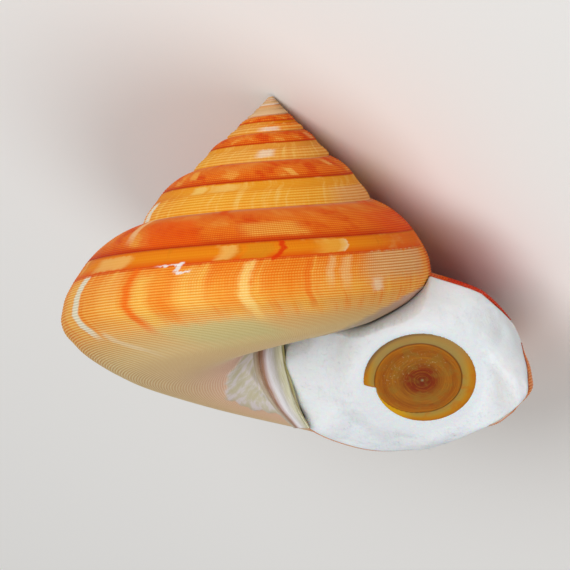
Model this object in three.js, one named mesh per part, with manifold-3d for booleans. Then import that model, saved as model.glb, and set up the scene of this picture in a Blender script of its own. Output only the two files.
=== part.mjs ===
// A slit shell lying on its back with its mouth up, cotton wool in the mouth and the horny lid on the wool.
// Millimetres, +Z up. The shell is drawn standing, apex at the origin and axis down -Z, and the last groups
// lay it on the ground. Angles are degrees of growth: 360 is one whorl, and the mouth is a little past 360.
import * as THREE from "three";
import { mergeVertices } from "three/addons/utils/BufferGeometryUtils.js";
import Module from "manifold-3d";

const wasm = await Module();
wasm.setup();

// How the whorl grows: its width and its depth below the apex, from what they are at the reference angle.
const halfTurn = 180;
const referenceAngle = 180;
const widthGrowth = { perHalfTurn: 0.2479, slowing: 0.0066 };
const depthGrowth = { perHalfTurn: 0.253, slowing: 0.0029 };

// The whorl's outline at the reference angle, from the pillar's foot along the base and up to the seam:
// radius, depth, and how far the lip there runs ahead of the mouth angle, in degrees.
const foot = [[3.4, 52, -46], [7.6, 56.2, -44]];
const underside = [[13.2, 58.4, -40], [19.2, 59.1, -33]];
const base = [...underside, [27.1, 57.8, -25], [31.6, 56.1, -19], [35.2, 54.2, -14]];
const keel = [[38, 52.3, -8], [39.8, 50.5, -4], [41.3, 48.9, -1]];
const side = [[42.1, 46.8, 0], [41.9, 44.7, 0], [41.3, 42, -3]];
const slitBand = [[39.8, 39, -9], [38.6, 37.1, -9], [37.3, 35.2, -8]];
const shoulder = [[35.2, 32.8, -3], [32.6, 30.6, -2], [29.9, 28.9, -1]];
const seam = [26.5, 27.4, -1];
const outline = [...foot, ...base, ...keel, ...side, ...slitBand, ...shoulder, seam];

// The early whorls flare out to the seam below them, by so many millimetres for each degree before angle 0.
const flare = { perDegree: 0.0085, from: 37, to: 47 };

// The lip takes its shape over the last part of the growth. Near the mouth the seam also drops down the
// whorl before it, the base grows flatter, the shoulder swells and the lip below the keel draws in.
const mouthAngle = 376;
const lipFrom = 240;
const seamDrop = { from: 150, to: 360, depth: 1, reach: 3.5 };
const baseFlattening = { from: 230, to: 350, share: 0.022 };
const lipSwell = { from: 330, to: 370, out: 1.1, depths: [27.4, 31, 36, 41] };
const lipDraw = { from: 320, to: 366, in: 1.8, up: 0.5, depths: [45, 49], low: [51, 55], radii: [25, 32] };

// The wall, in millimetres at the reference angle, and the glaze laid over the whorl behind the mouth.
const wall = 1.1;
const glaze = 0.4;
const hollow = { from: -300, fineFrom: -20, coarseSteps: 14, fineSteps: 33, beyondMouth: 30 };
const coreRadius = 1;
const coreDepths = [46, 20];
const pillarSide = [[4.2, 37, -5], [3.9, 41, -15], [5, 46.5, -40]];

// The slit: an open cut as wide as the slit band, back from the lip.
const slit = { from: 300, reach: 3 };

// The early whorls are filled. Each stretch of whorls has its own steps and its own outline points.
const stretches = [
  { from: -1260, to: -360, steps: 44, every: 2 },
  { from: -360, to: 0, steps: 24, every: 1 },
  { from: 0, to: 240, steps: 20, every: 1 },
  { from: 240, to: mouthAngle, steps: 14, every: 1 },
];
const lipTrim = { beyond: 5, outside: 3, inside: 3.2 };
const ringsInOneLoft = 10;
const tip = { depth: 4.8, radius: 4.2, sides: 16 };

// The pillar that the whorls wind about, down to the inner end of the lip: its middle line and its radius.
const pillar = [
  { at: [0, 0, -2], radius: 1.5 },
  { at: [0, 0, -34], radius: 2 },
  { at: [0, 0, -48], radius: 2.9 },
  { at: [0.1, 0.3, -54], radius: 3.6 },
  { at: [1.4, 0.8, -59], radius: 3.8 },
  { at: [3.8, 1.8, -64], radius: 3 },
  { at: [6.9, 3.6, -68], radius: 2 },
];
const pillarSides = 10;

// The cotton wool: it starts deep in the mouth, bulges out in front of the lip and hangs over the lip
// below. Each ring of its front stands some millimetres ahead of the lip, and of the whorl above the
// mouth, and keeps a share of its size.
const gap = 0.35;
const woolFrom = 285;
const lipClearance = 0.5;
const mostTurn = 12;
const woolFront = [
  { ahead: 0.6, above: 2, share: 1 },
  { ahead: 2.6, above: 6, share: 0.97 },
  { ahead: 4.2, above: 8.5, share: 0.85 },
  { ahead: 5.5, above: 9.5, share: 0.62 },
  { ahead: 6, above: 9.5, share: 0.3 },
];
const spill = { reach: 0.6, from: base[3], to: keel[2] };
const woolInSlit = { from: 310, bulge: 0.7 };

// The lid: a thin horny disc whose edge winds outward once round and ends in a step, and its seat.
const lid = {
  innerRadius: 9.7,
  outerRadius: 12,
  thickness: 0.8,
  steps: 36,
  stepAt: 192,
  tilt: 37,
  centre: [31.1, -8.4, -57.8],
};
const lidRoom = { margin: 0.7, height: 12, sides: 24 };
const lidSeat = [
  { behind: 0.35, radius: 12.6 },
  { behind: 2.5, radius: 13.4 },
  { behind: 6, radius: 11 },
  { behind: 10, radius: 7 },
];

// How the shell lies: turned about its own axis, tipped over on its back, and turned on the ground so
// that the mouth looks toward -Y.
const lying = { turn: -141.6, tip: 136.86, facing: 48.1 };

const degrees = THREE.MathUtils.degToRad;
const ramp = THREE.MathUtils.smoothstep;
const mix = THREE.MathUtils.lerp;

// The whorl's size at a growth angle, as a share of its size at the reference angle.
function growth(angle) {
  const turns = (angle - referenceAngle) / halfTurn;
  return {
    wide: Math.exp(widthGrowth.perHalfTurn * turns - widthGrowth.slowing * turns ** 2),
    deep: Math.exp(depthGrowth.perHalfTurn * turns - depthGrowth.slowing * turns ** 2),
  };
}

// The whorls wind clockwise as seen from above the apex.
function around(radius, depth, angle) {
  const turn = degrees(angle);
  return new THREE.Vector3(radius * Math.cos(turn), -radius * Math.sin(turn), -depth);
}

// A point given at the reference angle, grown to another angle and set in space.
function grown([radius, depth, lead], angle) {
  const here = angle + lead * ramp(angle, lipFrom, mouthAngle);
  const { wide, deep } = growth(here);
  const nearSeam = Math.max(0, 1 - Math.abs(depth - seam[1]) / seamDrop.reach);
  const drop = seamDrop.depth * nearSeam * ramp(here, seamDrop.from, seamDrop.to);
  const onBase = ramp(depth, side[0][1], base[3][1]) * ramp(here, baseFlattening.from, baseFlattening.to);
  const [swellFrom, swollen, swollenTo, swellTo] = lipSwell.depths;
  const onShoulder = ramp(depth, swellFrom, swollen) * (1 - ramp(depth, swollenTo, swellTo));
  const swell = lipSwell.out * onShoulder * ramp(here, lipSwell.from, lipSwell.to);
  const below = ramp(radius, ...lipDraw.radii) * ramp(here, lipDraw.from, lipDraw.to);
  const drawnIn = lipDraw.in * ramp(depth, ...lipDraw.depths) * below;
  const drawnUp = lipDraw.up * ramp(depth, ...lipDraw.low) * below;
  const flared = flare.perDegree * Math.max(0, -here) * ramp(depth, flare.from, flare.to);
  const flatDepth = depth * (1 - baseFlattening.share * onBase) + drop - drawnUp;
  return around((radius + flared + swell - drawnIn) * wide, flatDepth * deep, here);
}

// The outline moved inward, into the wall. A minus distance moves it outward.
function inset(distance) {
  return outline.map(([radius, depth, lead], i) => {
    const before = outline[Math.max(i - 1, 0)];
    const after = outline[Math.min(i + 1, outline.length - 1)];
    const along = new THREE.Vector2(after[0] - before[0], after[1] - before[1]).normalize();
    return [radius + along.y * distance, depth - along.x * distance, lead];
  });
}

const angles = (from, to, steps) => Array.from({ length: steps + 1 }, (_, i) => mix(from, to, i / steps));

const axialView = (point) => new THREE.Vector2(Math.hypot(point.x, point.y), point.z);
const fromBelow = (point) => new THREE.Vector2(point.x, -point.y);

// A closed surface through a row of rings. Each ring runs counter-clockwise as seen from the next one.
function loft(rings, view = axialView) {
  const count = rings[0].length;
  const last = (rings.length - 1) * count;
  const faces = [];
  for (let start = 0; start < last; start += count)
    for (let i = 0; i < count; i += 1) {
      const a = start + i;
      const b = start + ((i + 1) % count);
      faces.push(a, b, a + count, b, b + count, a + count);
    }
  for (const [a, b, c] of THREE.ShapeUtils.triangulateShape(rings[0].map(view), [])) faces.push(a, c, b);
  for (const [a, b, c] of THREE.ShapeUtils.triangulateShape(rings.at(-1).map(view), []))
    faces.push(last + a, last + b, last + c);
  const geometry = new THREE.BufferGeometry().setFromPoints(rings.flat());
  geometry.setIndex(faces);
  return geometry;
}

function solid(geometry) {
  const bare = geometry.clone();
  bare.deleteAttribute("normal");
  bare.deleteAttribute("uv");
  const merged = mergeVertices(bare, 1e-4);
  const mesh = new wasm.Mesh({
    numProp: 3,
    vertProperties: new Float32Array(merged.attributes.position.array),
    triVerts: new Uint32Array(merged.index.array),
  });
  return new wasm.Manifold(mesh);
}

function surface(manifold) {
  const { vertProperties, triVerts } = manifold.getMesh();
  const geometry = new THREE.BufferGeometry();
  geometry.setAttribute("position", new THREE.BufferAttribute(new Float32Array(vertProperties), 3));
  geometry.setIndex(new THREE.BufferAttribute(new Uint32Array(triVerts), 1));
  geometry.computeVertexNormals();
  return geometry;
}

// Short lofts joined end to end, because one whorl of a long one would pass through the next.
function joinedLofts(rings) {
  const parts = [];
  for (let start = 0; start < rings.length - 1; start += ringsInOneLoft)
    parts.push(solid(loft(rings.slice(start, start + ringsInOneLoft + 1))));
  return parts.reduce((whole, part) => whole.add(part));
}

function ringsAlong(stations, sides) {
  const turns = angles(0, 360 - 360 / sides, sides - 1);
  return stations.map(({ at, radius }) =>
    turns.map((turn) => around(radius, 0, turn).add(new THREE.Vector3(...at))),
  );
}

// The filled whorls, from the outline in to a narrow core that the pillar fills.
function filledWhorls() {
  const core = coreDepths.map((depth) => [coreRadius, depth, foot[0][2]]).reverse();
  const parts = stretches.map(({ from, to, steps, every }) => {
    const points = outline.filter((_, i) => i % every === 0);
    const past = to === mouthAngle ? [to + lipTrim.beyond] : [];
    const stops = [...angles(from, to, steps), ...past];
    return joinedLofts(stops.map((angle) => [...points, ...core].map((p) => grown(p, angle))));
  });
  const mouthPart = parts.pop().subtract(aheadOfLip());
  return parts.reduce((whole, part) => whole.add(part), mouthPart);
}

// The space just in front of the lip, so that the lip's rim follows the growth lines.
function aheadOfLip() {
  const [outer, inner] = [inset(-lipTrim.outside), inset(lipTrim.inside)];
  const far = mouthAngle + 2 * lipTrim.beyond;
  const rings = outline.map((_, i) => [
    grown(outer[i], mouthAngle),
    grown(inner[i], mouthAngle),
    grown(inner[i], far),
    grown(outer[i], far),
  ]);
  const square = [[0, 0], [1, 0], [1, 1], [0, 1]];
  return solid(loft(rings, (_, i) => new THREE.Vector2(...square[i])));
}

// The hollow's ring, given at the reference angle: along the inside of the wall, back under the whorl
// before, which is a whorl back in growth, and down the pillar.
const stretch = (points, from, to) => points.slice(outline.indexOf(from), outline.indexOf(to) + 1);
const hollowPoints = [
  ...stretch(inset(wall), foot[1], shoulder[2]).map((at) => ({ at, back: 0 })),
  ...stretch(inset(-glaze), base[0], side[0]).reverse().map((at) => ({ at, back: 360 })),
  ...pillarSide.map((at) => ({ at, back: 0 })),
];

function hollowRing(angle, aheadOf = () => 0) {
  return hollowPoints.map(({ at, back }, i) => {
    const from = angle - back;
    const turn = THREE.MathUtils.radToDeg(aheadOf(i) / (at[0] * growth(from).wide));
    return grown(at, from + Math.min(turn, mostTurn));
  });
}

const hollowAngles = [
  ...angles(hollow.from, hollow.fineFrom, hollow.coarseSteps),
  ...angles(hollow.fineFrom, mouthAngle, hollow.fineSteps).slice(1),
  ...angles(mouthAngle, mouthAngle + hollow.beyondMouth, 3).slice(1),
];

function slitCutter() {
  const [low, high] = [slitBand[0], slitBand[2]].map((edge) => outline.indexOf(edge));
  const [outer, inner] = [inset(-slit.reach), inset(slit.reach)];
  const corners = [outer[low], outer[high], inner[high], inner[low]];
  const rings = angles(slit.from, mouthAngle + 4, 8).map((angle) => corners.map((p) => grown(p, angle)));
  return solid(loft(rings));
}

function shellSolid() {
  const cone = new THREE.ConeGeometry(tip.radius, tip.depth, tip.sides);
  const spire = solid(cone.rotateX(Math.PI / 2).translate(0, 0, -tip.depth / 2));
  const column = solid(loft(ringsAlong(pillar, pillarSides), fromBelow));
  const inside = joinedLofts(hollowAngles.map((angle) => hollowRing(angle)));
  return filledWhorls().add(spire).add(column).subtract(inside).subtract(slitCutter());
}

// A ring drawn in toward its middle by a distance for each point, in its own axial plane.
function drawnIn(ring, distanceOf) {
  return ring.map((point, i) => {
    const [before, here, after] = [ring.at(i - 1), point, ring[(i + 1) % ring.length]].map(axialView);
    const first = here.clone().sub(before).normalize();
    const second = after.sub(here).normalize();
    const along = first.clone().add(second).divideScalar(Math.max(1 + first.dot(second), 0.4));
    const outward = new THREE.Vector3(point.x, point.y, 0).normalize();
    const inward = outward.multiplyScalar(-along.y).setZ(along.x);
    return point.clone().addScaledVector(inward, distanceOf(i));
  });
}

const ringIndex = (point) => outline.indexOf(point) - outline.indexOf(foot[1]);

function woolSolid() {
  const clear = () => gap;
  const inSlit = (i) => (i === ringIndex(slitBand[1]) ? -woolInSlit.bulge : gap);
  const spills = (i) => i >= ringIndex(spill.from) && i <= ringIndex(spill.to);
  const overLip = (i) => (spills(i) ? -wall - spill.reach : inSlit(i));
  const deep = hollowAngles.filter((angle) => angle >= woolFrom && angle <= mouthAngle);
  const rings = deep.map((angle) => drawnIn(hollowRing(angle), angle < woolInSlit.from ? clear : inSlit));
  rings.push(drawnIn(hollowRing(mouthAngle, () => lipClearance), inSlit));
  const underFrom = hollowPoints.findIndex(({ back }) => back > 0);
  for (const { ahead, above, share } of woolFront) {
    const aheadOf = (i) => (hollowPoints[i].back ? mix(ahead, above, ramp(i - underFrom, 0, 4)) : ahead);
    const ring = drawnIn(hollowRing(mouthAngle, aheadOf), overLip);
    const middle = ring.reduce((sum, p) => sum.add(p), new THREE.Vector3()).divideScalar(ring.length);
    rings.push(ring.map((p) => p.lerp(middle, 1 - share)));
  }
  return joinedLofts(rings);
}

// The lid's own frame: its disc lies in XY, and its face looks out along +Z.
const lidPlace = new THREE.Matrix4()
  .makeRotationX(degrees(90 + lid.tilt))
  .setPosition(...lid.centre);

function lidGeometry() {
  const edge = angles(0, 360, lid.steps).map((turn) => {
    const radius = mix(lid.innerRadius, lid.outerRadius, turn / 360);
    const direction = degrees(lid.stepAt + turn);
    return new THREE.Vector2(radius * Math.cos(direction), radius * Math.sin(direction));
  });
  return new THREE.ExtrudeGeometry(new THREE.Shape(edge), { depth: lid.thickness, bevelEnabled: false });
}

function lidSeatSolid() {
  const stations = lidSeat.map(({ behind, radius }) => ({ at: [0, 0, -behind], radius }));
  return solid(loft(ringsAlong(stations, lidRoom.sides), fromBelow).applyMatrix4(lidPlace));
}

function lidRoomSolid() {
  const radius = lid.outerRadius + lidRoom.margin;
  const room = new THREE.CylinderGeometry(radius, radius, lidRoom.height, lidRoom.sides);
  room.rotateX(Math.PI / 2).translate(0, 0, lidRoom.height / 2 - gap);
  return solid(room.applyMatrix4(lidPlace));
}

// Cutting leaves specks of no size beside the piece itself.
const largest = (manifold) => manifold.decompose().sort((a, b) => b.volume() - a.volume())[0];

function piece(name, geometry, color, roughness) {
  const mesh = new THREE.Mesh(geometry, new THREE.MeshStandardMaterial({ color, roughness, metalness: 0 }));
  mesh.name = name;
  return mesh;
}

const shell = piece("shell", surface(largest(shellSolid())), 0xdf7a34, 0.45);
const packedWool = woolSolid().add(lidSeatSolid()).subtract(lidRoomSolid());
const wool = piece("cotton_wool", surface(largest(packedWool)), 0xf2f2f0, 1);
const operculum = piece("operculum", lidGeometry(), 0x8a4f12, 0.35);
operculum.applyMatrix4(lidPlace);

const onItsBack = new THREE.Group();
onItsBack.rotation.set(degrees(lying.tip), 0, degrees(lying.turn));
onItsBack.add(shell, wool, operculum);

// The origin is under the middle of the whole, on the ground.
const part = new THREE.Group();
part.rotation.z = degrees(lying.facing);
part.add(onItsBack);
const extent = new THREE.Box3().setFromObject(part, true);
const middle = extent.getCenter(new THREE.Vector3());
part.position.set(-middle.x, -middle.y, -extent.min.z);
export default part;
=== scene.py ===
import bmesh
import bpy
import numpy as np
from mathutils import Matrix, Vector, noise
from mathutils.bvhtree import BVHTree


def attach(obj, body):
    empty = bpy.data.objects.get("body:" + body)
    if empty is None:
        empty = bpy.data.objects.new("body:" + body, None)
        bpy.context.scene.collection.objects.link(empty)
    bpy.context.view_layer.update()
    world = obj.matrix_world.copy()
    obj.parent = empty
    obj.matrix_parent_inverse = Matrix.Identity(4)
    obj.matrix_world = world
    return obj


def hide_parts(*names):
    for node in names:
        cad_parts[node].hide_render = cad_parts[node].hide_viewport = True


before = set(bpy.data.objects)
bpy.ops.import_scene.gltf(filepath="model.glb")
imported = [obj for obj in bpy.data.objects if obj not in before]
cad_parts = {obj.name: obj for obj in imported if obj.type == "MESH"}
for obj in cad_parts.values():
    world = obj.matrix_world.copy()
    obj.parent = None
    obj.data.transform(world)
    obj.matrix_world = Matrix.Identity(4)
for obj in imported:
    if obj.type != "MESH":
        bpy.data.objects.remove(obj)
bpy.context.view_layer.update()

# How the shell lies. It is drawn standing, in millimetres, with its apex at the origin and its axis down -Z,
# as a shell is measured. Then it is turned about that axis, tipped over on its back and turned on the ground.
lying_turn, lying_tip, lying_facing = -141.6, 136.86, 48.1
apex = Vector((0.0308831, -0.0251721, 0.0))
lying = (
    Matrix.Translation(apex)
    @ Matrix.Rotation(np.radians(lying_facing), 4, "Z")
    @ Matrix.Rotation(np.radians(lying_tip), 4, "X")
    @ Matrix.Rotation(np.radians(lying_turn), 4, "Z")
    @ Matrix.Scale(0.001, 4)
)
lying_array = np.array(lying)


def laid(points):
    """Points of the standing shell, in millimetres, where they lie on the ground, in metres."""
    return np.asarray(points) @ lying_array[:3, :3].T + lying_array[:3, 3]


# The view: a long lens square to the axis, a touch from the base side, that sees the mouth and the front
# flank. It looks down on the lying shell from over the mouth, with the apex up in the picture.
view_distance = 1421
view_middle = Vector((0, 0, -39))
view_from_base, view_roll = np.radians(1.13), np.radians(0.58)
picture_width = 115.7
aim_right = 3.2
film = 36
back = Vector((0, -np.cos(view_from_base), -np.sin(view_from_base)))
level = Vector((0, -np.sin(view_from_base), np.cos(view_from_base)))
side = level.cross(back)
right = side * np.cos(view_roll) + level * np.sin(view_roll)
up = level * np.cos(view_roll) - side * np.sin(view_roll)
camera_data = bpy.data.cameras.new("camera")
camera_data.sensor_width = film
camera_data.lens = film * view_distance / picture_width
camera_data.clip_end = 50
camera = bpy.data.objects.new("camera", camera_data)
bpy.context.scene.collection.objects.link(camera)
bpy.context.scene.camera = camera
turned = lying.to_3x3().normalized()
axes = [turned @ axis for axis in (right, up, back)]
camera_place = Matrix(axes).transposed().to_4x4()
camera_place.translation = lying @ (view_middle + back * view_distance + right * aim_right)
camera.matrix_world = camera_place

# The studio: a pale matt floor that runs out of sight, and two large soft lamps. The key stands to the left
# of the view and the fill below it. Both are given along the picture's right, its up and back to the camera.
floor_size = 6
floor_colour = (0.86, 0.85, 0.83, 1)
world_light = 0.3


def into_object(bm, name, smooth=True):
    """Turns a finished bmesh into an object of the scene."""
    for face in bm.faces:
        face.smooth = smooth
    mesh = bpy.data.meshes.new(name)
    bm.to_mesh(mesh)
    bm.free()
    made = bpy.data.objects.new(name, mesh)
    bpy.context.scene.collection.objects.link(made)
    return made


bm = bmesh.new()
bmesh.ops.create_grid(bm, x_segments=1, y_segments=1, size=floor_size / 2)
floor = into_object(bm, "floor", smooth=False)
floor_paint = bpy.data.materials.new("floor")
floor_paint.use_nodes = True
floor_shader = floor_paint.node_tree.nodes["Principled BSDF"]
floor_shader.inputs["Base Color"].default_value = floor_colour
floor_shader.inputs["Roughness"].default_value = 0.9
floor.data.materials.append(floor_paint)

lamps = {
    "key": {"toward": (-0.55, 0.1, 0.85), "distance": 1.2, "size": 0.8, "watts": 8.5},
    "fill": {"toward": (0.05, -0.75, 0.66), "distance": 1.2, "size": 0.8, "watts": 4.5},
}
shell_middle = lying @ view_middle
for name, lamp in lamps.items():
    lamp_data = bpy.data.lights.new(name, "AREA")
    lamp_data.shape = "DISK"
    lamp_data.size = lamp["size"]
    lamp_data.energy = lamp["watts"]
    lamp_object = bpy.data.objects.new(name, lamp_data)
    bpy.context.scene.collection.objects.link(lamp_object)
    toward = sum((axis * share for axis, share in zip(axes, lamp["toward"])), Vector()).normalized()
    lamp_object.location = shell_middle + toward * lamp["distance"]
    lamp_object.rotation_euler = toward.to_track_quat("Z", "Y").to_euler()
world = bpy.data.worlds.new("world")
world.use_nodes = True
world.node_tree.nodes["Background"].inputs["Color"].default_value = (1, 1, 1, 1)
world.node_tree.nodes["Background"].inputs["Strength"].default_value = world_light
bpy.context.scene.world = world
bpy.context.scene.view_settings.view_transform = "Standard"

# The shell's wall: lime laid down along the lip as the animal grew, so one outline turns about the axis while
# it widens and sinks. Fine cords run along the whorls, and an open slit cuts the lip, filled up behind as a
# smooth band. The outline gives radius, depth and how many degrees its lip runs ahead, from the seam down.
outline = [
    (22.5, 26.5, -1), (24.6, 27, -1), (26.5, 27.4, -1), (29.9, 28.9, -1), (32.6, 30.6, -2), (35.2, 32.8, -3),
    (37.3, 35.2, -8), (38.6, 37.1, -9), (39.8, 39, -9), (41.3, 42, -3), (41.9, 44.7, 0), (42.1, 46.8, 0),
    (41.3, 48.9, -1), (39.8, 50.5, -4), (38, 52.3, -8), (35.2, 54.2, -14), (31.6, 56.1, -19),
    (27.1, 57.8, -25), (19.2, 59.1, -33), (13.2, 58.4, -40), (7.6, 56.2, -44), (3.4, 52, -46), (1.2, 49, -46),
]
seam_at, band_top_at, band_foot_at, widest_at = 2, 6, 8, 11
keel_at, suture_at, rim_at, foot_at = 12, 13, 16, 21
curve_steps = 24
reference_angle, mouth_angle, lip_from = 180, 376, 240
width_growth, width_slowing, depth_growth, depth_slowing = 0.2479, 0.0066, 0.253, 0.0029
wall, lip_wall, lip_thins_from = 1.1, 0.3, 362
# What the lip does to the outline as it nears the mouth: the angles over which each change comes, the depths
# or radii that it reaches, and how far it goes in millimetres or as a share. The early whorls flare instead.
seam_drop = {"angles": (150, 360), "reach": 3.5}
base_flattening = {"angles": (230, 350), "depths": (46.8, 55.9), "share": 0.022}
lip_swell = {"angles": (330, 370), "from": (27.4, 31), "to": (36, 41), "out": 1.1}
lip_draw = {"angles": (320, 366), "radii": (25, 32), "side": (45, 49), "low": (51, 55), "in": 1.8, "up": 0.5}
early_flare = {"depths": (37, 47), "per_degree": 0.0085}
cord_pitch, cord_height, rows_in_cord = 0.58, 0.06, 4
band_rows, band_threads, band_height = 13, 6, 0.02
relief_zone, relief_share = [0, 0.3, 3.6, 5], [0.5, 1, 1, 0.4]
slit_from = 300
set_back_at = [0, 1, 1.5, 2, 2.4, 2.8, 3.5, 4.2, 5]
set_back = [1, 4, 4.8, 2, 0, 0, 6, 19, 40]
glaze_zone = [2.85, 2.95, 3.2, 3.5, 4.2, 5]
glaze_edge = [0, 17, 34, 42, 52, 80]
glaze_height, glaze_slope = 0.25, 3
callus_angle = [150, 184, 206, 229, 259, 300, 340, 376]
callus_zone = [5.1, 4.8, 4.78, 4.66, 4.7, 4.78, 4.82, 4.86]
callus_slope, callus_starts = 0.03, (140, 180)
callus_waves = [(0.05, 11, 0), (0.02, 4, 9)]
fold_comes, fold_zone, fold_width, fold_height = (190, 230), 4.915, 0.035, 0.9


def curve_through(points, steps):
    """A smooth curve through the points."""
    points = np.array(points, float)
    ends = np.vstack([points[:1], points, points[-1:]])
    t = np.linspace(0, 1, steps, endpoint=False)[:, None]
    parts = []
    for before, here, after, beyond in zip(ends, ends[1:], ends[2:], ends[3:]):
        bend = 2 * before - 5 * here + 4 * after - beyond
        twist = 3 * (here - after) + beyond - before
        parts.append(here + 0.5 * t * (after - before + t * (bend + t * twist)))
    return np.vstack(parts + [points[-1:]])


def ramp(value, low, high):
    share = np.clip((value - low) / (high - low), 0, 1)
    return share * share * (3 - 2 * share)


def growth(angle):
    """How wide and how deep the whorl is at a growth angle, as a share of its size at the reference angle."""
    turns = (angle - reference_angle) / 180
    wide = np.exp(width_growth * turns - width_slowing * turns**2)
    deep = np.exp(depth_growth * turns - depth_slowing * turns**2)
    return wide, deep


def wall_at(angle):
    """How thick the wall is at a growth angle: it thins out to the lip."""
    grown_wall = wall * growth(angle)[0]
    return grown_wall + (lip_wall - grown_wall) * ramp(angle, lip_thins_from, mouth_angle)


outline_curve = curve_through(outline, curve_steps)
outline_steps = np.diff(outline_curve[:, :2], axis=0)
lengths = np.concatenate([[0], np.cumsum(np.hypot(*outline_steps.T))])
slopes = np.gradient(outline_curve[:, :2], lengths, axis=0)
marks = lengths[::curve_steps]
band_top, band_foot = marks[band_top_at], marks[band_foot_at]
zone_marks = [marks[at] for at in (seam_at, band_top_at, band_foot_at, keel_at, rim_at, foot_at)]


def grown(radius, depth, lead, angle, out=0, sunk=0):
    """Standing points of the outline at a growth angle, moved out and down by millimetres, and the growth
    angle that each is really at, because the lip doesn't lie in one plane."""
    here = angle + lead * ramp(angle, lip_from, mouth_angle)
    wide, deep = growth(here)
    near_seam = np.clip(1 - np.abs(depth - outline[seam_at][1]) / seam_drop["reach"], 0, 1)
    drop = near_seam * ramp(here, *seam_drop["angles"])
    on_base = ramp(depth, *base_flattening["depths"]) * ramp(here, *base_flattening["angles"])
    flatter = 1 - base_flattening["share"] * on_base
    flared = early_flare["per_degree"] * np.maximum(0, -here) * ramp(depth, *early_flare["depths"])
    on_shoulder = ramp(depth, *lip_swell["from"]) * (1 - ramp(depth, *lip_swell["to"]))
    swell = lip_swell["out"] * on_shoulder * ramp(here, *lip_swell["angles"])
    below = ramp(radius, *lip_draw["radii"]) * ramp(here, *lip_draw["angles"])
    drawn_in = lip_draw["in"] * ramp(depth, *lip_draw["side"]) * below
    drawn_up = lip_draw["up"] * ramp(depth, *lip_draw["low"]) * below
    radius = (radius + flared + swell - drawn_in) * wide + out
    depth = (depth * flatter + drop - drawn_up) * deep + sunk
    turn = np.radians(here)
    return np.stack([radius * np.cos(turn), -radius * np.sin(turn), -depth], axis=-1), here


def on_whorl(length, angle, proud=0):
    """The same for lengths along the outline, proud of the whorl by millimetres."""
    radius, depth, lead = (np.interp(length, lengths, column) for column in outline_curve.T)
    along_radius, along_depth = (np.interp(length, lengths, column) for column in slopes.T)
    return grown(radius, depth, lead, angle, proud * along_depth, -proud * along_radius)


widest = growth(mouth_angle)[0]
row_step = cord_pitch / rows_in_cord
rows_above = int(band_top * widest / row_step) + 1
rows_below = int((lengths[-1] - band_foot) * widest / row_step) + 1
inner_below, inner_above = 30, 10
suture_shows_from = -60
turn_table = np.arange(-2400, 600)
thread_table = np.cumsum(np.radians(1) * outline[widest_at][0] * growth(turn_table)[0]) / cord_pitch


def whorl_rows(angle):
    """Lengths along the outline of one ring's rows, outside and inside. Rows follow the cords, which keep
    their distance from the band while the whorl widens, so rows without room yet stand together there."""
    spacing = row_step / growth(angle)[0]
    end = lengths[-1] if angle > suture_shows_from else marks[suture_at]
    above = np.maximum(band_top - spacing * np.arange(rows_above, 0, -1), 0)
    below = np.minimum(band_foot + spacing * np.arange(1, rows_below + 1), end)
    outside = np.concatenate([above, np.linspace(band_top, band_foot, band_rows), below])
    inside = np.concatenate([np.linspace(end, band_foot, inner_below), np.linspace(band_top, 0, inner_above)])
    return outside, inside


def whorl_ring(angle):
    """One ring of the wall, outside and then back along the inside: its points and what the finish reads."""
    outside, inside = whorl_rows(angle)
    wide = growth(angle)[0]
    zone = np.interp(outside, zone_marks, range(6))
    above, below = (outside - band_top) * wide / cord_pitch, (outside - band_foot) * wide / cord_pitch
    in_band = (outside - band_top) / (band_foot - band_top) * band_threads
    cords = np.where(outside <= band_top, above, np.where(outside >= band_foot, below, in_band))
    within = (outside > band_top) & (outside < band_foot)
    height = np.where(within, band_height, cord_height) * np.interp(zone, relief_zone, relief_share)
    front = np.interp(zone, glaze_zone, glaze_edge)
    glaze = np.where(zone > glaze_zone[0], 1 - ramp(angle, front - glaze_slope, front), 0)
    glaze = glaze if angle > suture_shows_from else 0 * zone
    waves = sum(high * noise.noise(Vector((angle / long, 0, apart))) for high, long, apart in callus_waves)
    start = np.interp(angle, callus_angle, callus_zone) + waves
    callus = ramp(zone, start - callus_slope, start) * ramp(angle, *callus_starts)
    fold = np.exp(-(((zone - fold_zone) / fold_width) ** 2)) * ramp(angle, *fold_comes)
    glaze = np.maximum(glaze, callus)
    proud = height * np.cos(2 * np.pi * cords) * (1 - glaze) + glaze_height * glaze + fold_height * fold
    points, here = on_whorl(outside, angle, proud)
    inner_points, _ = on_whorl(inside, angle, -wall_at(angle))
    line = here + np.interp(zone, set_back_at, set_back)
    threads = np.interp(line, turn_table, thread_table)
    values = np.stack([zone, cords, line, threads, glaze, 0 * zone], axis=-1)
    inner_values = np.tile([[0, 0, angle, 0, 0, 1]], (len(inside), 1))
    return laid(np.vstack([points, inner_points])), np.vstack([values, inner_values])


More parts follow.
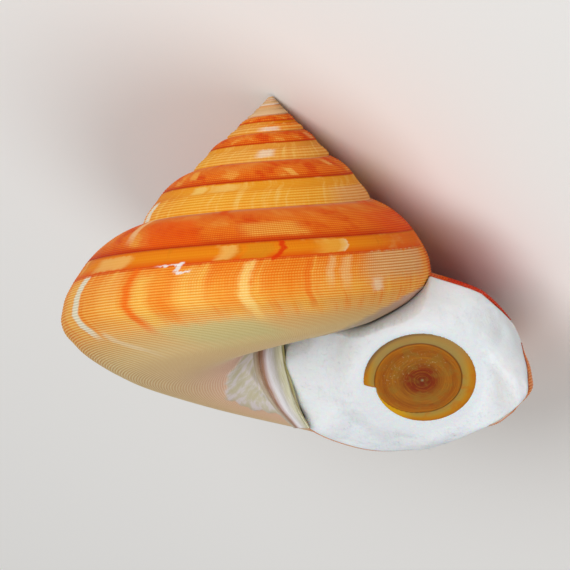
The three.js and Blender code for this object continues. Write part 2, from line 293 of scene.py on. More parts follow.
finish_values = ("zone", "cords", "line", "threads", "glaze", "inside")
ring_angles = [*range(-2160, -1260, 12), *range(-1260, -360, 10), *range(-360, mouth_angle + 1, 4)]
outer_count = rows_above + band_rows + rows_below
ring_count = outer_count + inner_below + inner_above
band_start, band_end = rows_above, rows_above + band_rows - 1
inner_end, inner_start = outer_count + inner_below - 1, outer_count + inner_below
bm = bmesh.new()
bmesh.ops.create_grid(bm, x_segments=len(ring_angles) - 1, y_segments=ring_count, size=0.5)
layers = [bm.verts.layers.float.new(name) for name in finish_values]
columns = [[None] * (ring_count + 1) for _ in ring_angles]
for vertex in bm.verts:
    column = columns[round((vertex.co.x + 0.5) * (len(ring_angles) - 1))]
    column[round((vertex.co.y + 0.5) * ring_count)] = vertex
for angle, column in zip(ring_angles, columns):
    points, values = whorl_ring(angle)
    points, values = points.tolist(), values.tolist()
    for vertex, point, row in zip(column, points + points[:1], values + values[:1]):
        vertex.co = point
        for layer, value in zip(layers, row):
            vertex[layer] = value


def edges_through(vertices):
    return [bm.edges.get(pair) for pair in zip(vertices, vertices[1:])]


# The slit is cut open from its blind end to the lip, and its sides and the lip's edge are closed.
open_columns = columns[ring_angles.index(slit_from):]
cut = []
for here, ahead in zip(open_columns, open_columns[1:]):
    for row in (*range(band_start, band_end), inner_end):
        cut.append(bm.faces.get((here[row], ahead[row], ahead[row + 1], here[row + 1])))
bmesh.ops.delete(bm, geom=cut, context="FACES")
lip = columns[-1]
rims = [
    ([column[band_start] for column in open_columns], [column[inner_start] for column in open_columns]),
    ([column[band_end] for column in open_columns], [column[inner_end] for column in open_columns]),
    (lip[:band_start + 1], lip[inner_start:ring_count]),
    (lip[band_end:outer_count], lip[outer_count:inner_end + 1]),
]
for outer, inner in rims:
    bmesh.ops.bridge_loops(bm, edges=edges_through(outer) + edges_through(inner))
bmesh.ops.remove_doubles(bm, verts=bm.verts, dist=2e-6)
bmesh.ops.dissolve_degenerate(bm, dist=1e-6, edges=bm.edges)
bmesh.ops.holes_fill(bm, edges=[edge for edge in bm.edges if edge.is_boundary])
bmesh.ops.recalc_face_normals(bm, faces=bm.faces)
whorls = into_object(bm, "whorls")


def paint(*levels):
    """A colour as the eye reads it, 0 to 255, as the shader wants it."""
    return (*(((level / 255 + 0.055) / 1.055) ** 2.4 for level in levels), 1)


def step(tree, kind, *feeds, **settings):
    """Adds a shader node, sets it up, feeds its sockets in order and gives its first output."""
    made = tree.nodes.new("ShaderNode" + kind)
    for name, value in settings.items():
        setattr(made, name, value)
    for socket, feed in zip(made.inputs, feeds):
        if isinstance(feed, bpy.types.NodeSocket):
            tree.links.new(feed, socket)
        elif feed is not None:
            socket.default_value = feed
    return made.outputs[0]


def maths(tree, operation, *feeds):
    return step(tree, "Math", *feeds, operation=operation)


def surface_value(tree, name):
    """What the mesh says of itself at each point."""
    step(tree, "Attribute", attribute_name=name)
    return tree.nodes[-1].outputs["Fac"]


def rise(tree, value, low, high, top=1):
    return step(tree, "MapRange", value, low, high, 0, top, interpolation_type="SMOOTHSTEP")


def spell(tree, value, start, full, fade, end, top=1):
    """A stretch of the growth line, or of the outline, that starts and fades softly."""
    return maths(tree, "SUBTRACT", rise(tree, value, start, full, top), rise(tree, value, fade, end, top))


def over(tree, share, under, upper):
    """One colour over another, by a share."""
    made = tree.nodes.new("ShaderNodeMix")
    made.data_type = "RGBA"
    for socket, feed in zip((made.inputs[0], made.inputs[6], made.inputs[7]), (share, under, upper)):
        if isinstance(feed, bpy.types.NodeSocket):
            tree.links.new(feed, socket)
        else:
            socket.default_value = feed
    return made.outputs[2]


def shades(tree, value, stops, reach=1):
    """Colours along a value that runs from 0 to its reach."""
    made = tree.nodes.new("ShaderNodeValToRGB")
    slots = made.color_ramp.elements
    for index, (place, colour) in enumerate(stops):
        slot = slots[index] if index < 2 else slots.new(1)
        slot.position = place / reach
        slot.color = paint(*colour)
    tree.links.new(value if reach == 1 else maths(tree, "DIVIDE", value, reach), made.inputs[0])
    return made.outputs[0]


mottling = bpy.data.node_groups.new("mottling", "ShaderNodeTree")
for name in ("Across", "Along", "Depth", "Scale", "Detail", "Roughness"):
    mottling.interface.new_socket(name, in_out="INPUT", socket_type="NodeSocketFloat")
mottling.interface.new_socket("Value", in_out="OUTPUT", socket_type="NodeSocketFloat")
given = mottling.nodes.new("NodeGroupInput").outputs
spot = step(mottling, "CombineXYZ", *given[:3])
mottled = step(mottling, "TexNoise", spot, None, *given[3:6])
mottling.links.new(mottled, mottling.nodes.new("NodeGroupOutput").inputs[0])


def grain(tree, across, along, depth, scale, detail, roughness):
    """Mottling that stretches as its three coordinates do."""
    return step(tree, "Group", across, along, depth, scale, detail, roughness, node_tree=mottling)


def finish(name, roughness, **sockets):
    """A new material, with its shader's plain sockets set."""
    made = bpy.data.materials.new(name)
    made.use_nodes = True
    shader = made.node_tree.nodes["Principled BSDF"]
    shader.inputs["Roughness"].default_value = roughness
    for socket, value in sockets.items():
        shader.inputs[socket.replace("_", " ")].default_value = value
    return made, made.node_tree, shader


ground_shades = [
    (0, (206, 112, 64)), (0.07, (216, 96, 28)), (0.25, (218, 88, 12)), (0.7, (224, 90, 8)),
    (0.93, (204, 58, 4)), (1, (170, 34, 2)), (1.06, (226, 116, 10)), (1.5, (232, 132, 14)),
    (1.92, (228, 100, 8)), (2, (206, 48, 2)), (2.08, (234, 112, 8)), (2.4, (234, 120, 12)),
    (2.9, (232, 126, 22)), (3.25, (226, 138, 48)), (3.6, (212, 150, 82)), (4, (212, 166, 104)),
    (4.4, (212, 170, 120)), (4.75, (222, 174, 146)), (5, (220, 188, 170)),
]
cord_shades = [
    (0, (216, 150, 110)), (0.1, (230, 128, 50)), (0.5, (240, 146, 46)), (0.85, (240, 134, 34)),
    (0.98, (196, 56, 8)), (1.04, (236, 140, 24)), (1.6, (240, 152, 34)), (1.96, (214, 64, 8)),
    (2.06, (244, 158, 62)), (2.3, (248, 182, 88)), (2.9, (248, 192, 96)), (3.4, (238, 204, 134)),
    (4, (234, 214, 160)), (4.5, (230, 204, 162)), (4.8, (236, 202, 180)), (5, (230, 206, 190)),
]
shell_finish, tree, shader = finish("grown lime", 0.5, Specular_IOR_Level=0.04)
zone, cord, line, thread = (surface_value(tree, name) for name in ("zone", "cords", "line", "threads"))
glazed, inside = surface_value(tree, "glaze"), surface_value(tree, "inside")


def crest_of(value):
    """1 on each cord or thread and 0 between two of them."""
    wave = maths(tree, "COSINE", maths(tree, "MULTIPLY", value, 2 * np.pi))
    return maths(tree, "MULTIPLY_ADD", wave, 0.5, 0.5)


def times(*shares):
    made = shares[0]
    for share in shares[1:]:
        made = maths(tree, "MULTIPLY", made, share)
    return made


cord_crest, thread_crest = crest_of(cord), crest_of(thread)
ground = shades(tree, zone, ground_shades, 5)
crest = shades(tree, zone, cord_shades, 5)
on_shoulder = maths(tree, "SUBTRACT", 1, rise(tree, zone, 0.85, 1.05))
low_shoulder = spell(tree, zone, 0.4, 0.6, 0.82, 0.94)
high_shoulder = spell(tree, zone, 0.02, 0.15, 0.4, 0.6)
in_band = spell(tree, zone, 0.98, 1.03, 1.97, 2.02)
below_band = spell(tree, zone, 1.98, 2.05, 3, 3.6)
# Broad tints that follow the growth lines: oblique flames of red and rows of pale beads on the shoulder, and
# gold and orange in turn below the band. The spire is golden on the second whorl, orange and tan on the third
# and fades to cream. Each tint has one colour for the ground between the cords and one for the cords.
slant = maths(tree, "MULTIPLY_ADD", zone, 10, line)
flames = grain(tree, maths(tree, "MULTIPLY", slant, 0.05), maths(tree, "MULTIPLY", zone, 1.2), 0, 1, 3, 0.6)
streaks = grain(tree, maths(tree, "MULTIPLY", line, 0.2), maths(tree, "MULTIPLY", zone, 0.4), 4, 1, 3, 0.65)
patches = grain(tree, maths(tree, "MULTIPLY", line, 0.06), maths(tree, "MULTIPLY", zone, 0.8), 8, 1, 3, 0.6)
second = spell(tree, line, -640, -560, -235, -150)
third = spell(tree, line, -1010, -960, -600, -560)
old = maths(tree, "SUBTRACT", 1, rise(tree, line, -1190, -1060))
spire_side = times(maths(tree, "MAXIMUM", second, third), spell(tree, zone, 1, 1.1, 2.6, 2.9))
tints = [
    (times(rise(tree, flames, 0.5, 0.64, 0.85), on_shoulder), (206, 46, 2), (232, 98, 20)),
    (times(rise(tree, flames, 0.48, 0.36, 0.8), low_shoulder), (226, 124, 24), (250, 192, 92)),
    (times(rise(tree, flames, 0.5, 0.38, 0.55), high_shoulder), (226, 130, 40), (240, 166, 78)),
    (times(rise(tree, streaks, 0.5, 0.7, 0.65), below_band), (238, 154, 34), (252, 212, 116)),
    (times(rise(tree, streaks, 0.48, 0.34, 0.6), below_band), (230, 96, 6), (244, 150, 50)),
    (times(rise(tree, patches, 0.48, 0.7, 0.6), below_band), (236, 150, 26), (250, 206, 100)),
    (times(rise(tree, patches, 0.55, 0.7, 0.8), in_band), (238, 176, 84), (242, 190, 104)),
    (times(rise(tree, streaks, 0.46, 0.34, 0.6), in_band), (214, 118, 10), (222, 130, 20)),
    (times(second, rise(tree, zone, 1.02, 1.1, 0.8)), (230, 148, 26), (246, 192, 76)),
    (times(third, rise(tree, zone, 1.02, 1.1, 0.7)), (222, 146, 50), (240, 186, 94)),
    (times(rise(tree, streaks, 0.48, 0.7, 0.55), spire_side), (238, 186, 84), (250, 216, 140)),
]
# Marks of single growth stops: the two colours, how strong they are, and the stretch of the growth line and
# of the outline over which the mark comes and goes.
wobble = grain(tree, maths(tree, "MULTIPLY", line, 0.4), maths(tree, "MULTIPLY", zone, 6), 6, 1, 3, 0.6)
bend = maths(tree, "SUBTRACT", wobble, 0.5)
uneven_line = maths(tree, "MULTIPLY_ADD", bend, 2.5, line)
uneven_slant = maths(tree, "MULTIPLY_ADD", bend, 2.5, slant)
uneven_zone = maths(tree, "MULTIPLY_ADD", bend, 0.3, zone)
growth_marks = [
    # the last whorl below the band, from its left edge to the mouth
    ((214, 206, 178), (246, 240, 216), 0.95, (159, 160.3, 163, 165), (1.99, 2.08, 3.1, 3.5)),
    ((226, 196, 150), (240, 222, 184), 0.6, (153, 155, 157, 159), (3.2, 3.4, 3.8, 4.2)),
    ((240, 170, 60), (250, 214, 130), 0.5, (163, 165, 168, 176), (2, 2.2, 2.9, 3.5)),
    ((240, 158, 50), (250, 208, 130), 0.4, (138.5, 142, 145, 153), (2, 2.1, 2.8, 3.4)),
    ((238, 92, 8), (244, 124, 30), 0.8, (133.8, 136, 136.8, 139), (1.98, 2.05, 3, 3.7)),
    ((236, 170, 50), (252, 218, 122), 0.5, (126, 130.5, 132, 135.5), (2.1, 2.3, 3, 3.6)),
    ((234, 108, 6), (244, 152, 40), 0.45, (116, 122, 125, 131), (2, 2.1, 2.9, 3.4)),
    ((238, 168, 50), (252, 220, 130), 0.45, (107, 113, 116, 122), (2, 2.15, 2.8, 3.3)),
    ((234, 110, 4), (244, 152, 40), 0.45, (99, 101.5, 104, 110), (2, 2.1, 2.9, 3.3)),
    ((246, 196, 96), (254, 226, 150), 0.75, (94.8, 96.8, 98, 100.2), (2, 2.12, 3, 3.7)),
    ((232, 104, 2), (242, 150, 40), 0.6, (76, 82, 89, 95), (2, 2.1, 2.7, 3.2)),
    ((232, 92, 4), (240, 130, 30), 0.6, (76, 77.2, 78.2, 79.6), (2, 2.1, 3, 3.4)),
    ((236, 190, 120), (248, 224, 176), 0.45, (67.8, 69.4, 70.2, 72.4), (2, 2.08, 2.45, 2.9)),
    ((236, 190, 120), (248, 224, 176), 0.4, (61.6, 63.8, 65, 67.6), (2.05, 2.12, 2.5, 3)),
    ((240, 214, 176), (248, 232, 204), 0.6, (48.6, 51, 53, 55.6), (2.55, 2.72, 2.84, 3.02)),
    ((206, 130, 62), (244, 208, 158), 0.7, (18, 28, 52, 62), (1.99, 2.06, 2.45, 2.9)),
    ((206, 66, 10), (228, 104, 40), 0.7, (-4, 2, 10, 22), (2, 2.05, 2.8, 3.2)),
    ((184, 184, 120), (214, 208, 156), 0.6, (92, 104, 124, 142), (3.2, 3.5, 3.8, 4.3)),
    # in the band
    ((220, 52, 2), (226, 62, 4), 0.9, (88.2, 89.4, 90.4, 91.6), (0.97, 1.03, 1.98, 2.06)),
    ((240, 200, 140), (246, 214, 164), 0.85, (65.4, 66, 67.6, 69.4), (1.06, 1.2, 1.82, 1.92)),
    ((238, 170, 60), (242, 180, 76), 0.7, (66, 67.5, 72, 80), (1.04, 1.15, 1.85, 1.95)),
    ((238, 182, 96), (244, 196, 118), 0.7, (142, 146, 158, 164), (1.1, 1.25, 1.8, 1.95)),
    ((238, 180, 90), (244, 196, 110), 0.7, (104, 106.5, 109, 112), (1.04, 1.15, 1.85, 1.95)),
    ((216, 136, 22), (222, 146, 34), 0.6, (92, 94, 101, 103), (1.04, 1.15, 1.9, 1.98)),
    ((224, 84, 6), (230, 96, 12), 0.6, (-20, 0, 36, 58), (1.04, 1.15, 1.9, 1.98)),
    # on the spire
    ((232, 224, 200), (240, 234, 216), 0.9, (-196, -193.5, -188.5, -186), (1.98, 2.1, 2.7, 2.85)),
    ((240, 200, 110), (248, 220, 150), 0.5, (-252, -244, -236, -228), (1.1, 1.25, 1.75, 1.9)),
    ((240, 196, 104), (248, 216, 140), 0.7, (-230, -227, -222, -218), (1.1, 1.25, 1.75, 1.9)),
    ((218, 140, 76), (236, 186, 132), 0.65, (-360, -345, -318, -296), (2, 2.1, 2.9, 3)),
    ((238, 220, 204), (244, 230, 218), 0.6, (-1010, -996, -984, -964), (2.2, 2.4, 2.7, 2.85)),
    ((238, 220, 196), (246, 232, 212), 0.6, (-636, -629, -622, -614), (2, 2.1, 2.5, 2.65)),
]
for low, high, strength, along, across in growth_marks:
    mark = times(spell(tree, uneven_line, *along), spell(tree, uneven_zone, *across, strength))
    tints.append((mark, low, high))
# On the shoulder the marks slant.
shoulder_marks = [
    ((232, 170, 110), (246, 212, 160), 0.85, (155, 156.6, 158.4, 161), (-0.2, 0.02, 0.5, 0.9)),
    ((222, 60, 2), (236, 96, 14), 0.75, (-10, 8, 44, 64), (0.3, 0.5, 0.95, 1)),
    ((226, 72, 2), (238, 104, 16), 0.7, (124, 130, 148, 154), (0.1, 0.35, 0.9, 0.98)),
    ((224, 120, 24), (250, 196, 92), 0.8, (84, 92, 106, 114), (0.45, 0.6, 0.8, 0.92)),
    ((232, 150, 50), (246, 190, 90), 0.8, (-211, -209, -205, -202), (0.25, 0.4, 0.65, 0.8)),
    ((236, 160, 60), (248, 200, 104), 0.8, (-277, -275.5, -272.5, -270), (0.5, 0.6, 0.8, 0.92)),
    ((236, 160, 70), (246, 196, 120), 0.7, (-318, -316.5, -313, -310), (0.15, 0.25, 0.45, 0.6)),
    ((234, 150, 80), (244, 186, 120), 0.7, (-692, -688, -680, -674), (0.3, 0.4, 0.8, 0.95)),
]
for low, high, strength, along, across in shoulder_marks:
    mark = times(spell(tree, uneven_slant, *along), spell(tree, zone, *across, strength))
    tints.append((mark, low, high))
# Toward the lip it reddens above the slit and turns salmon below it.
reddened = times(rise(tree, line, 300, 345), spell(tree, zone, 0.1, 0.2, 1.9, 2.3, 0.9))
tints.append((reddened, (196, 24, 2), (224, 62, 12)))
salmon = times(rise(tree, line, 320, 350), rise(tree, zone, 1.9, 2.3, 0.7))
tints.append((salmon, (214, 96, 48), (240, 160, 112)))
for share, low, high in tints:
    ground = over(tree, share, ground, paint(*low))
    crest = over(tree, share, crest, paint(*high))
# Cords, and the threads that cross them, which show as a grid of dark dots just below the band.
dotted = times(spell(tree, zone, 1.98, 2.02, 2.35, 2.8), spell(tree, line, 45, 62, 112, 126))
beaded = spell(tree, zone, 0.1, 0.3, 0.9, 1)
knotted = maths(tree, "MULTIPLY_ADD", dotted, 0.5, maths(tree, "MULTIPLY_ADD", beaded, 0.3, 0.15))
knots = maths(tree, "SUBTRACT", 1, times(knotted, maths(tree, "SUBTRACT", 1, thread_crest)))
cord_share = times(cord_crest, knots, maths(tree, "SUBTRACT", 1, times(in_band, 0.6)))
colour = over(tree, cord_share, ground, crest)
creamy = shades(tree, zone, [(0, (220, 150, 92)), (0.8, (222, 176, 124)), (5, (228, 202, 164))], 5)
colour = over(tree, old, colour, creamy)
# The chip below the band, healed over in white: a stroke along the band's edge, one down and one below.
chip_strokes = [
    ((119.5, 120.5, 126, 131), (1.92, 1.97, 2, 2.04)),
    ((119.8, 120.6, 121.4, 122.2), (1.84, 1.9, 2.14, 2.2)),
    ((115.5, 117, 120, 122), (2.14, 2.18, 2.2, 2.24)),
]
for along, across in chip_strokes:
    scar = times(spell(tree, uneven_line, *along), spell(tree, uneven_zone, *across, 0.85))
    colour = over(tree, scar, colour, paint(238, 232, 228))
# The glaze over the base beside the mouth, and the pearl of the inside.
pearl = grain(tree, maths(tree, "MULTIPLY", line, 0.12), maths(tree, "MULTIPLY", zone, 9), 2, 1, 4, 0.6)
film_shades = [
    (2.9, (196, 160, 150)), (3.5, (178, 146, 128)), (4.2, (176, 158, 130)), (4.6, (198, 180, 164)),
    (4.8, (206, 202, 186)),
]
film = shades(tree, zone, film_shades, 5)
deep_film = rise(tree, zone, 3.8, 4.5)
film = over(tree, times(rise(tree, pearl, 0.45, 0.65, 0.6), deep_film), film, paint(190, 184, 140))
film = over(tree, times(rise(tree, pearl, 0.52, 0.4, 0.6), deep_film), film, paint(222, 214, 222))
colour = over(tree, times(glazed, 0.9), colour, film)
colour = over(tree, inside, colour, paint(226, 204, 186))
fine = times(thread_crest, maths(tree, "SUBTRACT", 1, glazed))
bump = step(tree, "Bump", 0.8, 0.00003, None, fine)
tree.links.new(colour, shader.inputs["Base Color"])
tree.links.new(bump, shader.inputs["Normal"])
whorls.data.materials.append(shell_finish)
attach(whorls, "root")
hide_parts("shell")

# The pillar that the whorls turn about: pearly lime in strands twisted round each other, which come out of
# the spire and run over into the lip below the mouth. A station gives the middle and a radius, and a ridge
# the turn about the pillar and a share of that radius.
pillar_stations = [
    (0, 0, -2, 1.5), (0, 0, -34, 2), (0, 0, -48, 2.9), (0.1, 0.3, -54, 3.6), (1.4, 0.8, -59, 3.8),
    (3.8, 1.8, -64, 3), (6.9, 3.6, -68, 2),
]
pillar_steps, pillar_sides = 10, 96
pillar_ridges = [
    (0, 0.9), (14, 0.98), (24, 1), (33, 0.9), (44, 1.06), (52, 0.99), (66, 0.9), (80, 0.95), (98, 1.02),
    (118, 0.86), (150, 0.62), (185, 0.86), (220, 1), (260, 0.9), (300, 1), (345, 0.9), (360, 0.9),
]
ridge_twist, ridges_lie_at = -1.2, -56
path = curve_through(pillar_stations, pillar_steps)
ridge_turns, ridge_shares = zip(*pillar_ridges)
bm = bmesh.new()
bmesh.ops.create_grid(bm, x_segments=pillar_sides, y_segments=len(path) - 1, size=0.5)
around = bm.verts.layers.float.new("around")
down = bm.verts.layers.float.new("down")
for vertex in bm.verts:
    share = vertex.co.x + 0.5
    *middle, radius = path[round((vertex.co.y + 0.5) * (len(path) - 1))]
    turn = 2 * np.pi * share
    vertex[around] = 360 * share
    vertex[down] = -middle[2]
    ridge = (360 * share - ridge_twist * (middle[2] - ridges_lie_at)) % 360
    offset = Vector((np.cos(turn), -np.sin(turn), 0)) * (radius * np.interp(ridge, ridge_turns, ridge_shares))
    vertex.co = lying @ (Vector(middle) + offset)
bmesh.ops.remove_doubles(bm, verts=bm.verts, dist=1e-6)
bmesh.ops.holes_fill(bm, edges=[edge for edge in bm.edges if edge.is_boundary])
bmesh.ops.recalc_face_normals(bm, faces=bm.faces)
pillar = into_object(bm, "pillar")
pillar_finish, tree, shader = finish("pearl", 0.35, Specular_IOR_Level=0.3)
ring, down = surface_value(tree, "around"), surface_value(tree, "down")
wander = grain(tree, maths(tree, "MULTIPLY", ring, 0.11), maths(tree, "MULTIPLY", down, 0.25), 0, 1, 3, 0.6)
place = maths(tree, "MULTIPLY_ADD", maths(tree, "SUBTRACT", wander, 0.5), 16, ring)
# Colours round the pillar. The brown from 116 to 150 degrees is painted shade in the hollow between the
# strands, and the bright yellow-white and white-lilac strands are pearly lime partly given a painted
# highlight.
pillar_colours_sheen_and_shade = [
    (8, (196, 188, 120)), (26, (202, 194, 128)), (34, (150, 132, 84)), (42, (246, 242, 210)),
    (52, (214, 212, 180)), (64, (196, 192, 168)), (78, (208, 204, 202)), (94, (226, 224, 228)),
    (106, (200, 182, 182)), (116, (164, 118, 92)), (150, (140, 94, 60)), (172, (190, 174, 150)),
]
colour = shades(tree, place, pillar_colours_sheen_and_shade, 360)
fine = grain(tree, maths(tree, "MULTIPLY", ring, 0.5), maths(tree, "MULTIPLY", down, 0.3), 5, 1, 4, 0.65)
colour = over(tree, rise(tree, fine, 0.5, 0.68, 0.5), colour, paint(186, 180, 138))
colour = over(tree, rise(tree, fine, 0.48, 0.32, 0.5), colour, paint(238, 234, 240))
tree.links.new(colour, shader.inputs["Base Color"])
pillar.data.materials.append(pillar_finish)
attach(pillar, "root")

# The cotton wool: a loose wad pushed into the mouth, that fills it to the wall, bulges out in front, fills
# the slit and hangs over the lip. It springs against the lime wherever it is near it.
wool_from, wool_step, wool_press = 290, 4, 0.12
wall_span, whorl_span, pillar_side = (20, 3), (11, 19), [(3.4, 36.5, -5), (2.7, 41, -15), (3.6, 46.5, -40)]
wool_front_rings, wool_rounding, wool_settling, wool_mesh_size = 44, 500, 400, 0.4
# How far the wad bulges ahead, in millimetres, how far from the axis it does so, and how far it may turn.
ahead_of_lip, lip_arm, lip_turn = 6.5, 45, 12
ahead_of_whorl, whorl_arm, whorl_lead = 15, 50, 1.6
pillar_arm, pillar_turn = 25, 35
spill_along, spill_reach = (27.5, 31, 44, 49), 0.5
slit_bulge, slit_hollow, slit_edge, slit_softness, slit_fills_over = 0.6, 0.15, 0.3, 1, 12
# Metres from the lime, between which the wool is held less and less.
held_within, loose_beyond = (0.0007, 0.003), (0.0003, 0.002)
# The bed that the lid is pressed into: how high it stands round the lid and how far it sinks under its edge.
facing_lid, bed_height, bed_sinks, bed_edge = (0.1, 0.5), 0.45, 0.75, (-0.9, -0.2)
bed_below, bed_around, clear_of_rim = (-4, -1), (0.2, 8), (0.5, 4)
clumps = [(0.16, 0.7), (0.5, 0.15)]
fibres_where_loose, fibres_above = 0.2, -9
lid_thickness, lid_step_at = 0.8, 192
lid_centre, lid_tilt = (31.1, -8.4, -57.8), 37
lid_turns = [0, 0.05, 0.12, 0.22, 0.35, 0.47, 0.6, 0.72, 0.85, 0.985, 1]
lid_edges = [9.75, 9.9, 10.1, 10.4, 10.7, 10.95, 11.4, 11.8, 12, 12, 9.75]
along_wall = np.linspace(marks[wall_span[0]], marks[wall_span[1]], 150)
along_whorl = np.linspace(marks[whorl_span[0]], marks[whorl_span[1]], 90)
by_pillar = curve_through(pillar_side, 8)
spill = ramp(along_wall, *spill_along[:2]) - ramp(along_wall, *spill_along[2:])
past_top = ramp(along_wall, band_top + slit_edge, band_top + slit_edge + slit_softness)
in_slit = past_top - ramp(along_wall, band_foot - slit_edge - slit_softness, band_foot - slit_edge)
lid_place = np.array(Matrix.Translation(lid_centre) @ Matrix.Rotation(np.radians(90 + lid_tilt), 4, "X"))
from_lid = np.linalg.inv(lid_place)
lid_axis = Vector(lid_place[:3, 2])


def wool_ring(angle, ahead=0, above=0, share=1, outside=0):
    """A ring round the wad: along the wall, back under the whorl before it, and down beside the pillar."""
    thin = wall_at(angle)
    filled = ramp(angle, slit_from, slit_from + slit_fills_over)
    bulge = in_slit * filled * (thin - slit_hollow + slit_bulge * outside)
    hanging = outside * spill * (thin + spill_reach)
    turn = min(np.degrees(ahead / lip_arm), lip_turn)
    by_wall = on_whorl(along_wall, angle + turn, wool_press - thin + bulge + hanging)[0]
    forward = ahead + (above - ahead) * ramp(np.linspace(0, 1, len(along_whorl)), 0, 0.5)
    under_whorl = [
        on_whorl(length, angle - 360 + np.degrees(distance / whorl_arm), glaze_height - wool_press)[0]
        for length, distance in zip(along_whorl, forward)
    ]
    turn = min(np.degrees(above / pillar_arm), pillar_turn)
    ring = np.vstack([by_wall, under_whorl, grown(*by_pillar.T, angle + turn)[0]])
    for _ in range(int(wool_rounding * (1 - share))):
        ring = (np.roll(ring, 1, axis=0) + 2 * ring + np.roll(ring, -1, axis=0)) / 4
    return ring.mean(axis=0) + (ring - ring.mean(axis=0)) * share


wool_rings = [wool_ring(angle) for angle in range(wool_from, mouth_angle, wool_step)]
for index in range(wool_front_rings + 1):
    lean = np.pi / 2 * index / wool_front_rings
    forward, share = np.sin(lean) ** (2 / 3), max(np.cos(lean), 0) ** (2 / 3)
    ahead, above = ahead_of_lip * forward, ahead_of_whorl * min(whorl_lead * forward, 1)
    wool_rings.append(wool_ring(mouth_angle, ahead, above, share, min(index / 2, 1)))
wool_around = len(wool_rings[0])
bm = bmesh.new()
bmesh.ops.create_grid(bm, x_segments=len(wool_rings) - 1, y_segments=wool_around, size=0.5)
for vertex in bm.verts:
    ring = wool_rings[round((vertex.co.x + 0.5) * (len(wool_rings) - 1))]
    vertex.co = ring[round((vertex.co.y + 0.5) * wool_around) % wool_around]
bmesh.ops.remove_doubles(bm, verts=bm.verts, dist=0.02)
bmesh.ops.holes_fill(bm, edges=[edge for edge in bm.edges if edge.is_boundary])
bmesh.ops.recalc_face_normals(bm, faces=bm.faces)
wool = into_object(bm, "cotton")


def reshape(piece):
    """Makes what a piece's modifiers do to it its own mesh."""
    made = bpy.data.meshes.new_from_object(piece.evaluated_get(bpy.context.evaluated_depsgraph_get()))
    piece.modifiers.clear()
    piece.vertex_groups.clear()
    piece.data = made


even = wool.modifiers.new("even", "REMESH")
even.mode = "VOXEL"
even.voxel_size = wool_mesh_size
even.use_smooth_shade = True
reshape(wool)
depsgraph = bpy.context.evaluated_depsgraph_get()
wall_tree, pillar_tree = (BVHTree.FromObject(piece, depsgraph) for piece in (whorls, pillar))
free = wool.vertex_groups.new(name="free")
for vertex in wool.data.vertices:
    from_lime = min(near.find_nearest(lying @ vertex.co)[3] for near in (wall_tree, pillar_tree))
    free.add([vertex.index], float(ramp(from_lime, *held_within)), "REPLACE")
settled = wool.modifiers.new("settled", "SMOOTH")
settled.factor, settled.iterations, settled.vertex_group = 0.5, wool_settling, "free"
reshape(wool)
fibre_roots = []
bm = bmesh.new()
bm.from_mesh(wool.data)
bm.normal_update()
for vertex in bm.verts:
    x, y, z, _ = from_lid @ (*vertex.co, 1)
    facing = float(ramp(vertex.normal.dot(lid_axis), *facing_lid))
    turn = (np.degrees(np.arctan2(y, x)) - lid_step_at) % 360 / 360
    from_edge = np.hypot(x, y) - np.interp(turn, lid_turns, lid_edges)
    from_rim = np.hypot(x, y) - max(lid_edges)
    bed = bed_height - bed_sinks * (1 - ramp(from_edge, *bed_edge))
    share = max(facing, float(ramp(z, *bed_below))) * float(1 - ramp(from_rim, *bed_around))
    vertex.co = (lid_place @ (x, y, z + (bed - z) * share, 1))[:3]
    clump = sum(noise.noise(vertex.co * fineness) * height for fineness, height in clumps)
    from_wall = wall_tree.find_nearest(lying @ vertex.co)[3]
    loose = facing * float(ramp(from_rim, *clear_of_rim) * ramp(from_wall, *loose_beyond))
    vertex.co = vertex.co + vertex.normal * clump * loose
    if loose > fibres_where_loose and z > fibres_above:
        fibre_roots.append((vertex.co.copy(), vertex.normal.copy()))
    vertex.co = lying @ vertex.co
bm.to_mesh(wool.data)
bm.free()
wool_finish, tree, shader = finish("cotton fibre", 0.95, Specular_IOR_Level=0.1)
shader.inputs["Base Color"].default_value = paint(230, 234, 237)
shader.inputs["Subsurface Weight"].default_value = 0.3
shader.inputs["Subsurface Scale"].default_value = 0.002
step(tree, "TexCoord")
fluff = step(tree, "TexNoise", tree.nodes[-1].outputs["Object"], None, 900, 5, 0.65)
bump = step(tree, "Bump", 0.6, 0.0003, None, fluff)
tree.links.new(bump, shader.inputs["Normal"])
wool.data.materials.append(wool_finish)
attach(wool, "root")
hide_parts("cotton_wool")

# Stray fibres of the wool: thin hairs that lift off its face and stand out as fluff round its edge. Each lies
# nearly flat, bows sideways and ends in a point.
fibre_count, fibre_thickness, fibre_longest, fibre_shortest = 1400, 0.022, 1.7, 0.4
fibre_bow, fibre_lift, fibre_sunk = 0.35, (0.1, 0.22), 0.1
chance = np.random.default_rng(11)
bm = bmesh.new()
for index in chance.choice(len(fibre_roots), fibre_count, replace=False):
    root, away = fibre_roots[index]
    heading = Vector(chance.normal(size=3))
    heading = (heading - away * heading.dot(away)).normalized()
    across = heading.cross(away)
    length = fibre_longest * chance.uniform(fibre_shortest, 1)
    bow = across * chance.uniform(-fibre_bow, fibre_bow) * length
    lift = away * chance.uniform(*fibre_lift) * length
    for vertex in bmesh.ops.create_grid(bm, x_segments=3, y_segments=5, size=0.5)["verts"]:
        turn, along = 2 * np.pi * (vertex.co.x + 0.5), vertex.co.y + 0.5
        girth = fibre_thickness * np.sin(np.pi * along) ** 0.5 if 0.01 < along < 0.99 else 0
        straight = root + heading * length * along
        middle = straight + bow * np.sin(np.pi * along) + lift * along**2 - away * fibre_sunk
        vertex.co = lying @ (middle + (across * np.cos(turn) + away * np.sin(turn)) * girth)
bmesh.ops.remove_doubles(bm, verts=bm.verts, dist=1e-7)
bmesh.ops.recalc_face_normals(bm, faces=bm.faces)
fibres = into_object(bm, "stray_fibres")
fibres.data.materials.append(wool_finish)
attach(fibres, "root")

